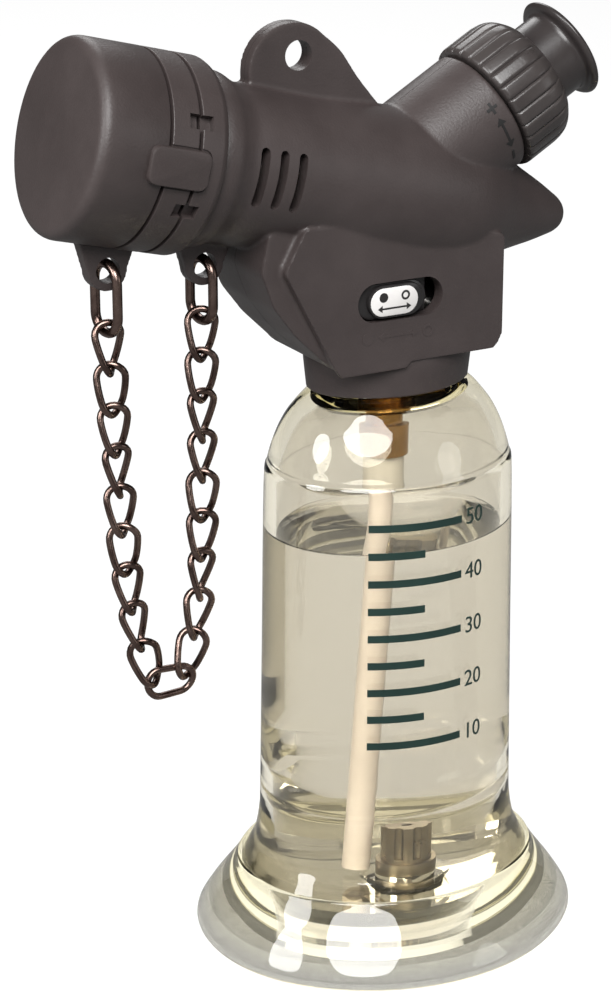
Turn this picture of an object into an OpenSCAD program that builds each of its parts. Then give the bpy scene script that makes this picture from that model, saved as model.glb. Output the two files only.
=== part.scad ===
// Pocket butane torch: clear oval tank, pistol head, chained nozzle cap.
// Millimetres. Z is up; the tank's axis is the Z axis; the nozzle points to -X.

/* [Tank] */
// Half length of the tank's oval wall
tank_half_length = 21.0; // [20:0.1:22]
// Distance of the oval's arc centres from the axis
oval_end_offset = 6.5; // [6.2:0.1:6.8]
// Height of the dome's rim under the head
tank_top = 92.2; // [91.9:0.1:92.4]
// Height of the tank's lower edge
tank_bottom = 3.0; // [2.8:0.1:3.2]
// Wall of the tank
tank_wall = 2.0; // [1.6:0.1:2.4]
// How far the tank's lower skirt flares out
tank_flare = 3.4; // [3.0:0.1:3.6]
// Height of the tank's neck above the dome
neck_height = 5.3; // [4.8:0.1:5.5]
// Thickness of the welded floor
floor_thickness = 2.5; // [2:0.1:3]

/* [Foot] */
// Half length of the foot's rim
foot_half_length = 31.9; // [31:0.1:33]
// Height of the foot ring
foot_height = 12.2; // [11.5:0.1:12.6]

/* [Gas valves] */
// Filler valve place along X
filler_x = 0.3; // [0:0.1:1]
// Filler valve place along Y
filler_y = -4.2; // [-5:0.1:-4]
// Filler body radius
filler_r = 4.2; // [3.8:0.1:4.6]
// Filler stem radius
filler_stem_r = 1.4; // [1.2:0.05:1.6]
// Filler stem travel
filler_travel = 1.2; // [0.8:0.1:1.5]
// Outlet valve place along X
valve_x = -1.0; // [-1.4:0.1:-0.6]
// Outlet valve body radius
valve_r = 3.8; // [3.4:0.1:4.0]
// Outlet valve stem radius
valve_stem_r = 1.0; // [0.9:0.05:1.1]
// Outer radius of the dip tube
dip_r = 1.9; // [1.6:0.1:2.0]

/* [Nozzle] */
// Upward tilt of the nozzle
nozzle_tilt = 14; // [13:0.1:15]
// Rise of the nozzle axis above the tank's neck
nozzle_rise = 24.8; // [24.5:0.1:25.1]
// Outer radius of the nozzle rings and cap
ring_r = 14.56; // [14.2:0.05:14.8]
// Radius of the gas chamber inside the head
chamber_r = 9.6; // [9.2:0.1:9.8]
// Radius of the nose spigot under the rings
spigot_r = 12.1; // [11.8:0.1:12.3]
// Start of the rear ring along the nozzle axis
rear_ring_start = 36.9; // [36.7:0.1:37.1]
// Distance from the rear ring's start to the groove in front of it
rear_ring_length = 4.6; // [4.4:0.05:4.8]
// Distance between the grooves on either side of the front ring
front_ring_length = 4.75; // [4.5:0.05:5]
// Width of the grooves between the rings
groove_width = 0.5; // [0.4:0.05:0.6]
// Distance from the cap's groove to its front face
cap_length = 10.95; // [10.3:0.05:11.7]
// Wall at the front of the cap
cap_wall = 1.6; // [1.4:0.1:2]
// Radius of the burner tube
burner_r = 6.0; // [5.6:0.1:6.2]

/* [Igniter] */
// Upward tilt of the igniter barrel
barrel_tilt = 30.15; // [29.5:0.05:30.5]
// Rise of the barrel axis above the nozzle axis, at the tank's axis
barrel_rise = 1.3; // [1.1:0.1:1.5]
// Radius of the barrel
barrel_r = 10.0; // [9.8:0.05:10.1]
// End of the barrel under the dial
barrel_end = 18.4; // [18.2:0.1:18.6]
// Outer radius of the flame dial
dial_r = 10.75; // [10.5:0.05:11]
// Top of the dial along the barrel axis
dial_top = 28.6; // [28:0.1:29]
// Radius of the button's shaft
button_r = 6.6; // [6.4:0.05:6.7]
// Radius of the button's thumb flange
flange_r = 8.27; // [8:0.05:8.5]
// Top face of the button along the barrel axis
button_top = 35.5; // [35.2:0.1:36]
// Travel of the button
button_travel = 5.0; // [4.5:0.1:5.2]
// Radius of the piezo unit
piezo_r = 5.2; // [5:0.05:5.3]

/* [Head block] */
// Half thickness of the block behind its side panels
block_half = 8.8; // [8.6:0.05:9]
// Half thickness over the side panels
panel_half = 10.5; // [10.3:0.05:10.7]
// Thickness of the hanging tab
tab_thickness = 3.2; // [2.8:0.1:3.6]
// Radius of the hanging hole
tab_hole_r = 2.25; // [2:0.05:2.5]
// Half length of the neck collar
collar_half_length = 13.5; // [13.3:0.1:13.7]

/* [Lock] */
// Length of the lock slot
slot_length = 14.8; // [14.6:0.1:15]
// Height of the lock slot
slot_height = 6.0; // [5.8:0.1:6.2]
// Travel of the lock slider
slider_travel = 2.4; // [2:0.1:2.5]

/* [Chain] */
// Wire of the chain links
chain_wire = 1.1; // [1.0:0.05:1.15]
// Length of a chain link
link_length = 8.9; // [8.8:0.05:9.0]
// Width of a chain link
link_width = 5.4; // [5.2:0.1:5.6]
// Distance from link to link
link_pitch = 6.36; // [6.3:0.02:6.4]
// Links in each strand
strand_links = 9; // [9:1:9]
// Wire of the lug rings
lug_ring_wire = 1.5; // [1.4:0.05:1.6]

/* [Hidden] */
$fn = 96;
eps = 0.01;
seat_gap = 0.05;
run_gap = 0.06;
slide_gap = 0.3;

side_shift = oval_end_offset * sqrt(2);
joint_angle = 45;
tank_r = tank_half_length - oval_end_offset;
skirt_r = tank_r + tank_flare;
neck_top = tank_top + neck_height;
neck_r = 3.6;
fill_margin = 0.8;
neck_fill_r = 0.2;
floor_fill_r = 6.0;
wall_low = foot_height + 12.8;
wall_high = tank_top - 16.2;
wall_low_r = tank_r + 0.3;
wall_high_r = tank_r - 0.5;
scale_low = wall_low + 12.0;
scale_step = 4.5;
scale_mark = 1.2;
scale_marks = 9;
scale_start = -120;
scale_long = 38;
scale_short = 22;
print_thickness = 0.12;
floor_low = tank_bottom + 2.5;
floor_top = floor_low + floor_thickness;
foot_r = foot_half_length - oval_end_offset;

nozzle_height = neck_top + nozzle_rise;
barrel_height = nozzle_height + barrel_rise;
groove_2 = rear_ring_start + rear_ring_length;
groove_1 = groove_2 + front_ring_length;
cap_front = groove_1 + cap_length;
spigot_end = cap_front - cap_wall - 5.6;
burner_front = spigot_end - 9;

filler_flange_r = filler_r + 1.5;
filler_mouth = floor_low - 1.0;
filler_step = floor_low + 6.5;
filler_top = filler_step + 7.0;
filler_bore_r = filler_stem_r + run_gap;
filler_stem_top = filler_mouth + 7.5;
filler_bore_top = filler_top - 1.2;
seal_thickness = 0.3;

valve_low = tank_top - 11.6;
valve_flange_top = neck_top + 1.8;
valve_top = neck_top + 4.6;
hose_x = valve_x - 5.0;
port_height = neck_top + 3.6;
sleeve_low = valve_low - 5.5;
sleeve_r = dip_r + 1.3;
dip_bottom_x = -5.2;

bullet_tail = rear_ring_start - 68.9;
chamber_rear = bullet_tail + 30.0;
hose_bend_r = 6.0;
hose_r = 1.4;
hose_wall = 0.6;
hose_turn = 90 - nozzle_tilt;
hose_end_x = hose_x - hose_bend_r + hose_bend_r * cos(hose_turn);
hose_end = -hose_end_x / cos(nozzle_tilt);
hose_bend_height = nozzle_height - hose_end_x * tan(nozzle_tilt) - hose_bend_r * sin(hose_turn);
jet_seat = hose_end + 5.0;
insulator_up = 1.5;
insulator_side = 7.7;
insulator_r = 1.2;

ring_inner_r = spigot_r + seat_gap;
hook_half = 2.8;
hook_low_r = ring_r - 0.55;
hook_high_r = ring_r + 0.75;
hook_back = groove_2 - 1.7;
hook_front = groove_1 + 3.0;
lug_hole_r = 1.9;
lug_r = 3.1;
lug_thickness = 2.6;
cap_lug = [-48.3, nozzle_height - 6.3];
head_lug = [-32.6, nozzle_height - 7.5];
tab_hole = [-17.0, nozzle_height + 22.1];

barrel_bore_r = button_r + slide_gap;
dial_spigot_r = barrel_bore_r + 1.5;
dial_spigot_end = barrel_end + 5.6;
piezo_high = barrel_end - 8.4;
piezo_low = piezo_high - 14;
button_low = piezo_high + button_travel + 0.5;
spring_seat = button_low + 4.0;
plunger_r = 2.0;
flute_count = 28;
flute_r = 0.55;

block_floor = neck_top + 0.5;
cavity_half = panel_half - 2.3;
cavity_left = -13.0;
cavity_right = 8.0;
cavity_low = block_floor + 2.0;
cavity_high = cavity_low + 16;
pivot_x = 5.0;
lever_top = valve_top + 3.05;
lever_thickness = 1.5;
pivot_height = lever_top - lever_thickness / 2;
pin_r = 1.0;
screw_places = [[-18.4, block_floor + 13.6], [11.2, block_floor + 9], [17, block_floor + 20]];
screw_r = 1.0;
screw_half = 5.0;
screw_head_r = 2.1;
screw_head = 1.6;

slot_x = -4.5;
slot_z = block_floor + 10;
slider_length = slot_length - slider_travel - 0.3;
slider_height = slot_height - 0.5;
slider_x = slot_x - slider_travel / 2;
label_length = 8.2;
label_height = 4.3;

cap_ring_length = 12.0;
head_ring_length = 11.0;
lug_ring_width = 7.0;
lug_ring_turn = -79;
lug_ring_rise = 0.85;
first_link_turn = 35;
link_twist = 97;
cap_strand_top = cap_lug[1] - 12;
head_strand_top = head_lug[1] - 10.8;
loop_link = [-38.9, cap_strand_top - 54.8];

// Profile sweeps that follow the tank's four-arc oval
function widened(points) = [for (p = points) [p[0] + side_shift, p[1]]];

module oval_sweep(points) {
    for (side = [0, 1]) mirror([side, 0, 0]) translate([oval_end_offset, 0, 0])
        rotate([0, 0, -joint_angle])
        rotate_extrude(angle = 2 * joint_angle) polygon(points);
    for (side = [0, 1]) mirror([0, side, 0]) translate([0, -oval_end_offset, 0])
        rotate([0, 0, joint_angle])
        rotate_extrude(angle = 180 - 2 * joint_angle) polygon(widened(points));
}

// Closes the middle that a sweep with inner radius r leaves open
module oval_fill(r, from, to) {
    half_length = oval_end_offset + r + fill_margin;
    half_width = r + side_shift - oval_end_offset + fill_margin;
    translate([-half_length, -half_width, from])
        cube([2 * half_length, 2 * half_width, to - from]);
}

// Local frames: Z runs along the nozzle or along the barrel
module on_nozzle() {
    translate([0, 0, nozzle_height]) rotate([0, nozzle_tilt - 90, 0]) children();
}

module on_barrel() {
    translate([0, 0, barrel_height]) rotate([0, 90 - barrel_tilt, 0]) children();
}

module rod(r, from, to) {
    translate([0, 0, from]) cylinder(r = r, h = to - from);
}

module ring(outer, inner, from, to) {
    difference() {
        rod(outer, from, to);
        rod(inner, from - 1, to + 1);
    }
}

// Upright plate in the XZ plane, centred on y = 0
module plate(thickness) {
    translate([0, thickness / 2, 0]) rotate([90, 0, 0]) linear_extrude(thickness) children();
}

module cross_rod(r, x, z, from, to) {
    translate([x, to, z]) rotate([90, 0, 0]) cylinder(r = r, h = to - from);
}

module stadium(length, height) {
    for (side = [-1, 1]) translate([side * (length - height) / 2, 0]) circle(height / 2);
    square([length - height, height], center = true);
}

// Bent wire through a list of points
module wire(points, r) {
    for (i = [0 : len(points) - 2]) {
        step = points[i + 1] - points[i];
        translate(points[i]) rotate([0, acos(step[2] / norm(step)), atan2(step[1], step[0])])
            cylinder(r = r, h = norm(step), $fn = 24);
        if (i > 0) translate(points[i]) sphere(r + 0.03, $fn = 24);
    }
}

// Coil spring swept along a helix on Z
function coil_ring(r, wire_r, turns, height, i, sides, steps) = [for (j = [0 : sides - 1])
    let (turn = 360 * turns * i / steps, side = 360 * j / sides, out = r + wire_r * cos(side))
    [out * cos(turn), out * sin(turn), wire_r + (height - 2 * wire_r) * i / steps
        + wire_r * sin(side)]];

module coil(r, wire_r, turns, height) {
    sides = 6;
    steps = turns * 12;
    points = [for (i = [0 : steps]) each coil_ring(r, wire_r, turns, height, i, sides, steps)];
    walls = [for (i = [0 : steps - 1], j = [0 : sides - 1])
        let (k = (j + 1) % sides)
        [i * sides + j, (i + 1) * sides + j, (i + 1) * sides + k, i * sides + k]];
    first = [for (j = [0 : sides - 1]) j];
    last = [for (j = [sides - 1 : -1 : 0]) steps * sides + j];
    polyhedron(points, concat([first, last], walls), convexity = 10);
}

// Tank
module tank_shell() {
    color("lightyellow", 0.4) difference() {
        union() {
        oval_sweep([
            [skirt_r, tank_bottom], [skirt_r, foot_height - 0.7],
            [skirt_r - 1.2, foot_height + 1.8], [tank_r + 1.3, foot_height + 3.8],
            [tank_r + 0.5, foot_height + 7.8], [wall_low_r, wall_low],
            [wall_high_r, wall_high], [tank_r - 1.0, tank_top - 12.2],
            [tank_r - 2.2, tank_top - 8.2], [tank_r - 3.6, tank_top - 5.2],
            [tank_r - 5.0, tank_top - 3.2], [tank_r - 6.7, tank_top - 1.2],
            [tank_r - 8.0, tank_top], [neck_r, tank_top], [neck_r, neck_top], [neck_fill_r, neck_top],
            [neck_fill_r, tank_top - tank_wall], [tank_r - 9.0, tank_top - tank_wall],
            [tank_r - 6.2, tank_top - tank_wall - 2.8], [tank_r - 4.2, tank_top - 8.2],
            [wall_high_r - tank_wall, wall_high], [wall_low_r - tank_wall, wall_low],
            [tank_r + 0.7 - tank_wall, foot_height + 3.8],
            [skirt_r - 1.6 - tank_wall, foot_height],
            [skirt_r - 1.6 - tank_wall, tank_bottom]]);
            oval_fill(neck_fill_r, tank_top - tank_wall, neck_top);
        }
        translate([valve_x, 0, 0]) rod(valve_r + seat_gap, tank_top - 6, neck_top + 1);
    }
}

// Printed level marks on the near wall, which leans in a little towards the top
function wall_r(z) = side_shift + wall_low_r
    + (wall_high_r - wall_low_r) * (z - wall_low) / (wall_high - wall_low);

module level_scale() {
    color("darkgreen") for (i = [0 : scale_marks - 1]) {
        low = scale_low + i * scale_step;
        high = low + scale_mark;
        translate([0, oval_end_offset, 0]) rotate([0, 0, scale_start])
            rotate_extrude(angle = i % 2 == 0 ? scale_long : scale_short)
            polygon([[wall_r(low) + eps, low], [wall_r(low) + print_thickness, low],
                [wall_r(high) + print_thickness, high], [wall_r(high) + eps, high]]);
    }
}

module base_foot() {
    inner_r = skirt_r + 0.25;
    color("white", 0.4) oval_sweep([
        [foot_r - 0.5, 0], [foot_r, 0.8], [foot_r - 0.1, 1.6], [foot_r - 0.9, 3.0],
        [foot_r - 2.0, 5.0], [foot_r - 3.5, 7.0], [foot_r - 4.7, 8.5],
        [foot_r - 6.1, foot_height - 1.6], [inner_r + 0.3, foot_height],
        [inner_r, foot_height], [inner_r, tank_bottom], [skirt_r - 2.4, tank_bottom],
        [skirt_r - 2.4, 0]]);
}

module tank_floor() {
    floor_r = skirt_r - 1.6 - tank_wall - seat_gap;
    color("lightyellow", 0.4) difference() {
        union() {
            oval_sweep([[floor_fill_r, floor_low], [floor_r, floor_low], [floor_r, floor_top],
                [floor_fill_r, floor_top]]);
            oval_fill(floor_fill_r, floor_low, floor_top);
            translate([filler_x, filler_y, 0]) rod(filler_r + 2.2, floor_top - 1, floor_top + 1);
        }
        translate([filler_x, filler_y, 0]) rod(filler_r + seat_gap, floor_low - 1, floor_top + 2);
    }
}

// Filler valve in the floor
module filler_valve_body() {
    translate([filler_x, filler_y, 0]) color("goldenrod") difference() {
        union() {
            rod(filler_flange_r, filler_mouth, floor_low - seal_thickness);
            rod(filler_r, filler_mouth, filler_step);
            rod(filler_r - 0.7, filler_step - 1, filler_top);
        }
        rod(filler_bore_r, filler_mouth - 1, filler_bore_top);
        rod(0.8, filler_mouth, filler_top + 1);
        for (i = [0 : 7]) rotate([0, 0, i * 45]) translate([filler_r - 0.5, 0, 0])
            rod(0.7, filler_step + 0.8, filler_top + 1);
    }
}

module filler_stem() {
    color("goldenrod") translate([filler_x, filler_y, 0]) difference() {
        rod(filler_stem_r, filler_mouth + 0.1, filler_stem_top);
        rod(0.5, filler_mouth - 1, filler_stem_top - 3);
    }
}

module filler_spring() {
    color("silver") translate([filler_x, filler_y, filler_stem_top + seat_gap])
        coil(filler_stem_r - 0.35, 0.2, 4, filler_bore_top - filler_stem_top - 2 * seat_gap);
}

module filler_seal() {
    color("dimgray") translate([filler_x, filler_y, 0])
        ring(filler_flange_r - 0.2, filler_r + seat_gap, floor_low - seal_thickness, floor_low);
}

// Outlet valve in the neck
module outlet_valve_body() {
    color("goldenrod") difference() {
        union() {
            translate([valve_x, 0, 0]) {
                rod(valve_r, valve_low, valve_low + 5.2);
                rod(valve_r - 1.0, valve_low + 5, tank_top - 2);
                rod(valve_r, tank_top - 2.6, neck_top + 0.6);
                rod(valve_r + 1.0, neck_top + 0.5, valve_flange_top);
                rod(valve_r - 1.2, neck_top, valve_top);
            }
            wire([[valve_x, 0, port_height], [hose_x, 0, port_height],
                [hose_x, 0, port_height + 3.5]], hose_r - hose_wall - 0.02);
        }
        translate([valve_x, 0, 0]) rod(valve_stem_r + run_gap, valve_low + 6, valve_top + 1);
        translate([valve_x, 0, 0]) rod(1.2, valve_low - 1, valve_low + 8);
    }
}

module outlet_valve_stem() {
    color("silver") translate([valve_x, 0, 0]) {
        rod(valve_stem_r, neck_top - 4, lever_top + 1.4);
        rod(2.2, lever_top + 0.35, lever_top + 1.4);
    }
}

module neck_seal() {
    color("dimgray") translate([valve_x, 0, 0])
        ring(valve_r + 0.9, valve_r + seat_gap, neck_top, neck_top + 0.5);
}

module tube_sleeve() {
    color("lightgray") translate([valve_x, 0, 0]) {
        ring(sleeve_r, dip_r + 0.45, sleeve_low, sleeve_low + 3.2);
        ring(sleeve_r, 1.2, sleeve_low + 3.2, valve_low);
    }
}

module dip_tube() {
    low = [dip_bottom_x, 0, floor_top + 1.6];
    high = [valve_x, 0, sleeve_low + 2.6];
    lean = atan2(high[0] - low[0], high[2] - low[2]);
    color("white") translate(low) rotate([0, lean, 0])
        ring(dip_r, dip_r - 0.6, 0, norm(high - low));
}

// Head shells
module bullet() {
    on_nozzle() rotate_extrude() polygon([
        [0, bullet_tail], [1.2, bullet_tail + 0.4], [2.2, bullet_tail + 1.6],
        [3.2, bullet_tail + 3.4], [4.6, bullet_tail + 6.3], [6.2, bullet_tail + 9.8],
        [8.0, bullet_tail + 13.6], [10.2, bullet_tail + 18], [11.7, bullet_tail + 22.7],
        [12.4, bullet_tail + 29.7], [12.3, bullet_tail + 38.7], [12.0, bullet_tail + 44.2],
        [11.7, bullet_tail + 50], [11.8, bullet_tail + 56], [11.9, bullet_tail + 60.4],
        [11.8, bullet_tail + 62.6], [12.3, bullet_tail + 64.4], [12.9, bullet_tail + 65.8],
        [13.0, bullet_tail + 67.2], [12.7, rear_ring_start - 0.3],
        [spigot_r, rear_ring_start - 0.3], [spigot_r, spigot_end], [0, spigot_end]]);
}

module block() {
    translate([0, 0, block_floor]) {
        plate(2 * block_half) polygon([[-27.1, 16.3], [-25, 10.7], [-21.4, 6], [-15.2, 0],
            [13, 0], [14, 3.5], [14, 20], [-10, 26], [-26, 22]]);
        plate(2 * panel_half) polygon([[-20.7, 22.7], [-24.2, 16.4], [-15.9, 0.9], [-15, 0],
            [12.6, 0], [14, 2.2], [14, 18], [-10, 22]]);
    }
}

module hanging_tab() {
    plate(tab_thickness) {
        translate(tab_hole) {
            translate([-1, -2.3]) circle(7.2);
            polygon([[-8.2, -2.3], [-8.6, -14.4], [14.1, -16.4], [14.1, -9.8], [8.6, -3.4],
                [4.8, 2.0]]);
        }
    }
}

module barrel() {
    on_barrel() {
        rod(barrel_r, 0, barrel_end);
        rod(dial_spigot_r, barrel_end - 1, dial_spigot_end);
    }
}

module head_hollows() {
    on_nozzle() {
        rod(chamber_r, chamber_rear, spigot_end + 1);
        for (i = [0 : 2], side = [-1, 1]) translate([0, side * 12, rear_ring_start - 13.9 + i * 3.2])
            cube([8.7, 8, 1.45], center = true);
    }
    on_barrel() {
        ring(dial_r + slide_gap, dial_spigot_r - eps, barrel_end, dial_top + 1);
        rod(barrel_bore_r, piezo_high - 1, dial_spigot_end + 1);
        rod(piezo_r + seat_gap, piezo_low - 6, piezo_high);
    }
    translate([cavity_left, -cavity_half, cavity_low])
        cube([cavity_right - cavity_left, 2 * cavity_half, cavity_high - cavity_low]);
    translate([valve_x, 0, 0]) rod(valve_r + 1.2, block_floor - 1, cavity_low + 1);
    cross_rod(pin_r + seat_gap, pivot_x, pivot_height, -cavity_half - 1.2, cavity_half + 1.2);
    cross_rod(tab_hole_r, tab_hole[0], tab_hole[1], -5, 5);
    cross_rod(lug_hole_r, head_lug[0], head_lug[1], -5, 5);
    for (place = screw_places) {
        cross_rod(screw_r + seat_gap, place[0], place[1], -screw_half, screw_half + 1);
        cross_rod(screw_head_r + 0.2, place[0], place[1], screw_half, 20);
    }
}

module head() {
    difference() {
        union() {
            bullet();
            block();
            hanging_tab();
            barrel();
            lug_plate(head_lug, 4.6);
        }
        head_hollows();
    }
}

module left_housing() {
    color("dimgray") difference() {
        head();
        translate([-100, 0, 50]) cube([200, 100, 150]);
        translate([slot_x, -panel_half - 1, slot_z]) rotate([90, 0, 0])
            translate([0, 0, -4]) linear_extrude(8) stadium(slot_length, slot_height);
    }
}

module right_housing() {
    color("dimgray") difference() {
        head();
        translate([-100, -100, 50]) cube([200, 100, 150]);
    }
}

module housing_screws() {
    color("silver") for (place = screw_places) difference() {
        union() {
            cross_rod(screw_r, place[0], place[1], -screw_half + 0.2, screw_half + 0.2);
            cross_rod(screw_head_r, place[0], place[1], screw_half, screw_half + screw_head);
        }
        translate([place[0], screw_half + screw_head, place[1]]) {
            cube([2.6, 1.2, 0.5], center = true);
            cube([0.5, 1.2, 2.6], center = true);
        }
    }
}

module neck_collar() {
    collar_r = collar_half_length - oval_end_offset;
    color("dimgray") translate([-0.4, 0, 0])
        oval_sweep([[neck_r + 0.6, tank_top], [collar_r, tank_top], [collar_r + 0.3, tank_top + 3],
            [collar_r + 0.6, block_floor], [neck_r + 0.6, block_floor]]);
}

// Nozzle rings and cap
module hook_pockets() {
    for (side = [-1, 1]) translate([0, side * (hook_low_r + 9.7), (hook_back + hook_front) / 2])
        cube([2 * hook_half + 0.6, 20, hook_front - hook_back + 0.6], center = true);
}

module ring_windows() {
    for (turn = [-115, -63, 63, 115]) rotate([0, 0, turn])
        translate([ring_r, 0, groove_2]) cube([2.4, 2.2, 3.8], center = true);
}

module lug_plate(place, rise) {
    plate(lug_thickness) {
        translate(place) circle(lug_r);
        polygon([place + [-lug_r - 1.4, rise], place + [-lug_r, 0], place + [lug_r, 0],
            place + [lug_r + 1.4, rise - 1.6]]);
    }
}

module rear_ring() {
    color("dimgray") on_nozzle() difference() {
        ring(ring_r, ring_inner_r, rear_ring_start, groove_2 - groove_width / 2);
        hook_pockets();
        ring_windows();
    }
}

module front_ring() {
    ring_start = groove_2 + groove_width / 2;
    ring_stop = groove_1 - groove_width / 2;
    color("dimgray") {
        on_nozzle() difference() {
            ring(ring_r, spigot_r + slide_gap, ring_start, ring_stop);
            hook_pockets();
            ring_windows();
        }
        difference() {
            lug_plate(cap_lug, 5.0);
            on_nozzle() rod(ring_r - 0.5, ring_start, ring_stop);
            on_nozzle() rod(ring_r + seat_gap, ring_stop, cap_front + 5);
            on_nozzle() rod(ring_r + 8, ring_start - 10, ring_start);
            cross_rod(lug_hole_r, cap_lug[0], cap_lug[1], -5, 5);
        }
    }
}

module nozzle_cap() {
    start = groove_1 + groove_width / 2;
    color("dimgray") {
        on_nozzle() {
            rotate_extrude() polygon([[spigot_r + slide_gap, start], [ring_r, start],
                [ring_r, cap_front - 1.4], [ring_r - 0.4, cap_front - 0.4],
                [ring_r - 1.4, cap_front], [0, cap_front], [0, cap_front - cap_wall],
                [spigot_r + slide_gap, cap_front - cap_wall]]);
            for (side = [-1, 1]) translate([0, side * (hook_low_r + hook_high_r) / 2, 0])
                translate([-hook_half, -(hook_high_r - hook_low_r) / 2, hook_back])
                cube([2 * hook_half, hook_high_r - hook_low_r, hook_front - hook_back]);
        }
    }
}

// Burner
module burner_tube() {
    color("silver") on_nozzle() {
        difference() {
            ring(burner_r, burner_r - 0.6, jet_seat, burner_front);
            for (i = [0 : 3]) rotate([0, 0, i * 90]) translate([0, 0, jet_seat + 5])
                rotate([0, 90, 0]) rod(1.5, 0, burner_r + 2);
        }
        ring(burner_r, 1.9, jet_seat - 1, jet_seat);
    }
}

module burner_holder() {
    color("lightgray") on_nozzle() difference() {
        ring(chamber_r - seat_gap, burner_r + seat_gap, 30, 32.5);
        translate([insulator_up, insulator_side, 0]) rod(insulator_r + seat_gap, 29, 34);
    }
}

module flame_disc() {
    color("goldenrod") on_nozzle() difference() {
        rod(burner_r - 0.6 - seat_gap, burner_front - 5, burner_front - 2);
        rod(0.7, burner_front - 6, burner_front);
        for (i = [0 : 7]) rotate([0, 0, i * 45]) translate([3.2, 0, 0])
            rod(0.6, burner_front - 6, burner_front);
    }
}

module gas_jet() {
    color("goldenrod") on_nozzle() difference() {
        union() {
            rod(hose_r - hose_wall - 0.02, hose_end - 0.4, hose_end + 0.5);
            rod(2.6, hose_end, jet_seat - 1);
            rod(1.8, jet_seat - 2, jet_seat + 2);
        }
        rod(0.3, hose_end - 3, jet_seat + 3);
    }
}

module gas_hose() {
    color("white") {
        translate([hose_x, 0, 0]) ring(hose_r, hose_r - hose_wall, port_height + 1.2,
            hose_bend_height);
        translate([hose_x - hose_bend_r, 0, hose_bend_height]) rotate([90, 0, 0])
            rotate_extrude(angle = hose_turn) translate([hose_bend_r, 0]) difference() {
                circle(hose_r, $fn = 32);
                circle(hose_r - hose_wall, $fn = 32);
            }
    }
}

module electrode_insulator() {
    color("white") on_nozzle() translate([insulator_up, insulator_side, 0])
        ring(insulator_r, 0.4, 16, 38);
}

module spark_electrode() {
    color("silver") on_nozzle() wire([[insulator_up, insulator_side, 37],
        [insulator_up, insulator_side, 43.2], [insulator_up, burner_r - 2.4, 43.2]], 0.38);
}

module electrode_lead() {
    color("darkred") on_nozzle() wire([[-0.3, 5.5, 3.8], [insulator_up, insulator_side, 9],
        [insulator_up, insulator_side, 16]], 0.6);
}

// Igniter, button and dial
module piezo_unit() {
    color("black") on_barrel() ring(piezo_r, plunger_r + run_gap, piezo_low, piezo_high);
}

module piezo_plunger() {
    color("silver") on_barrel() rod(plunger_r, piezo_low + button_travel + 1, spring_seat);
}

module button_spring() {
    color("silver") on_barrel() translate([0, 0, piezo_high + seat_gap])
        coil(4.3, 0.4, 5, spring_seat - piezo_high - 2 * seat_gap);
}

module ignition_button() {
    color("black") on_barrel() difference() {
        union() {
            rod(button_r, button_low, button_top - 1.2);
            rod(flange_r, button_top - 1.2, button_top);
        }
        rod(button_r - 1.0, button_low - 1, spring_seat);
        rod(flange_r - 1.2, button_top - 0.6, button_top + 1);
    }
}

module flame_dial() {
    start = barrel_end + slide_gap;
    color("black") on_barrel() difference() {
        rotate_extrude() polygon([[dial_spigot_r + slide_gap, start], [dial_r, start],
            [dial_r, start + 5.4], [dial_r - 0.9, start + 6.2], [dial_r - 1.4, dial_top - 1.5],
            [dial_r - 2.6, dial_top], [button_r + 0.4, dial_top],
            [button_r + 0.4, dial_spigot_end + slide_gap],
            [dial_spigot_r + slide_gap, dial_spigot_end + slide_gap]]);
        for (i = [0 : flute_count - 1]) rotate([0, 0, i * 360 / flute_count])
            translate([dial_r + 0.1, 0, 0]) rod(flute_r, start + 0.8, start + 7, $fn = 16);
    }
}

// Valve lever
module valve_lever() {
    color("silver") difference() {
        union() {
            translate([valve_x - 2.6, -3, lever_top - lever_thickness])
                cube([pivot_x - valve_x + 2.6, 6, lever_thickness]);
            cross_rod(2.2, pivot_x, pivot_height, -3, 3);
            translate([pivot_x - 1.2, -3, pivot_height]) cube([1.6, 6, 10.5]);
        }
        cross_rod(pin_r + run_gap, pivot_x, pivot_height, -5, 5);
        translate([valve_x - 5, -valve_stem_r - 0.4, lever_top - 3])
            cube([5, 2 * valve_stem_r + 0.8, 6]);
        translate([valve_x, 0, 0]) rod(valve_stem_r + 0.4, lever_top - 3, lever_top + 3);
    }
}

module lever_pin() {
    color("silver") cross_rod(pin_r, pivot_x, pivot_height, -cavity_half - 1, cavity_half + 1);
}

// Lock slider and its label
module on_panel(depth) {
    translate([slider_x, depth, slot_z]) rotate([90, 0, 0]) children();
}

module lock_slider() {
    color("black") difference() {
        union() {
            on_panel(-cavity_half + 0.4) linear_extrude(panel_half - cavity_half + 0.8)
                stadium(slider_length, slider_height);
            on_panel(-cavity_half + 1.1) linear_extrude(0.9)
                square([slider_length + 1.6, slot_height + 1.6], center = true);
        }
        on_panel(-panel_half) linear_extrude(2) stadium(label_length + 0.1, label_height + 0.1);
    }
}

module lock_label() {
    color("white") on_panel(-panel_half) linear_extrude(0.25) stadium(label_length, label_height);
}

// Chain links: long ovals of round wire, their length along Z and width along X
module link(length, width, wire_d) {
    bend = (width - wire_d) / 2;
    straight = length / 2 - wire_d / 2 - bend;
    for (side = [-1, 1]) {
        translate([side * bend, 0, -straight]) cylinder(r = wire_d / 2, h = 2 * straight, $fn = 24);
        translate([0, 0, side * straight]) rotate([90 * side, 0, 0])
            rotate_extrude(angle = 180) translate([bend, 0]) circle(wire_d / 2, $fn = 24);
    }
}

// Strand centres bow towards the loop's lowest link; the slopes are their derivatives
function cap_strand_x(t) = -47.9 + 2.6 * t + 2.55 * pow(t, 6);
function cap_strand_slope(t) = 2.6 + 15.3 * pow(t, 5);
function head_strand_x(t) = -32.7 - 0.3 * t - 2.45 * pow(t, 6);
function head_strand_slope(t) = -0.3 - 14.7 * pow(t, 5);

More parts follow.
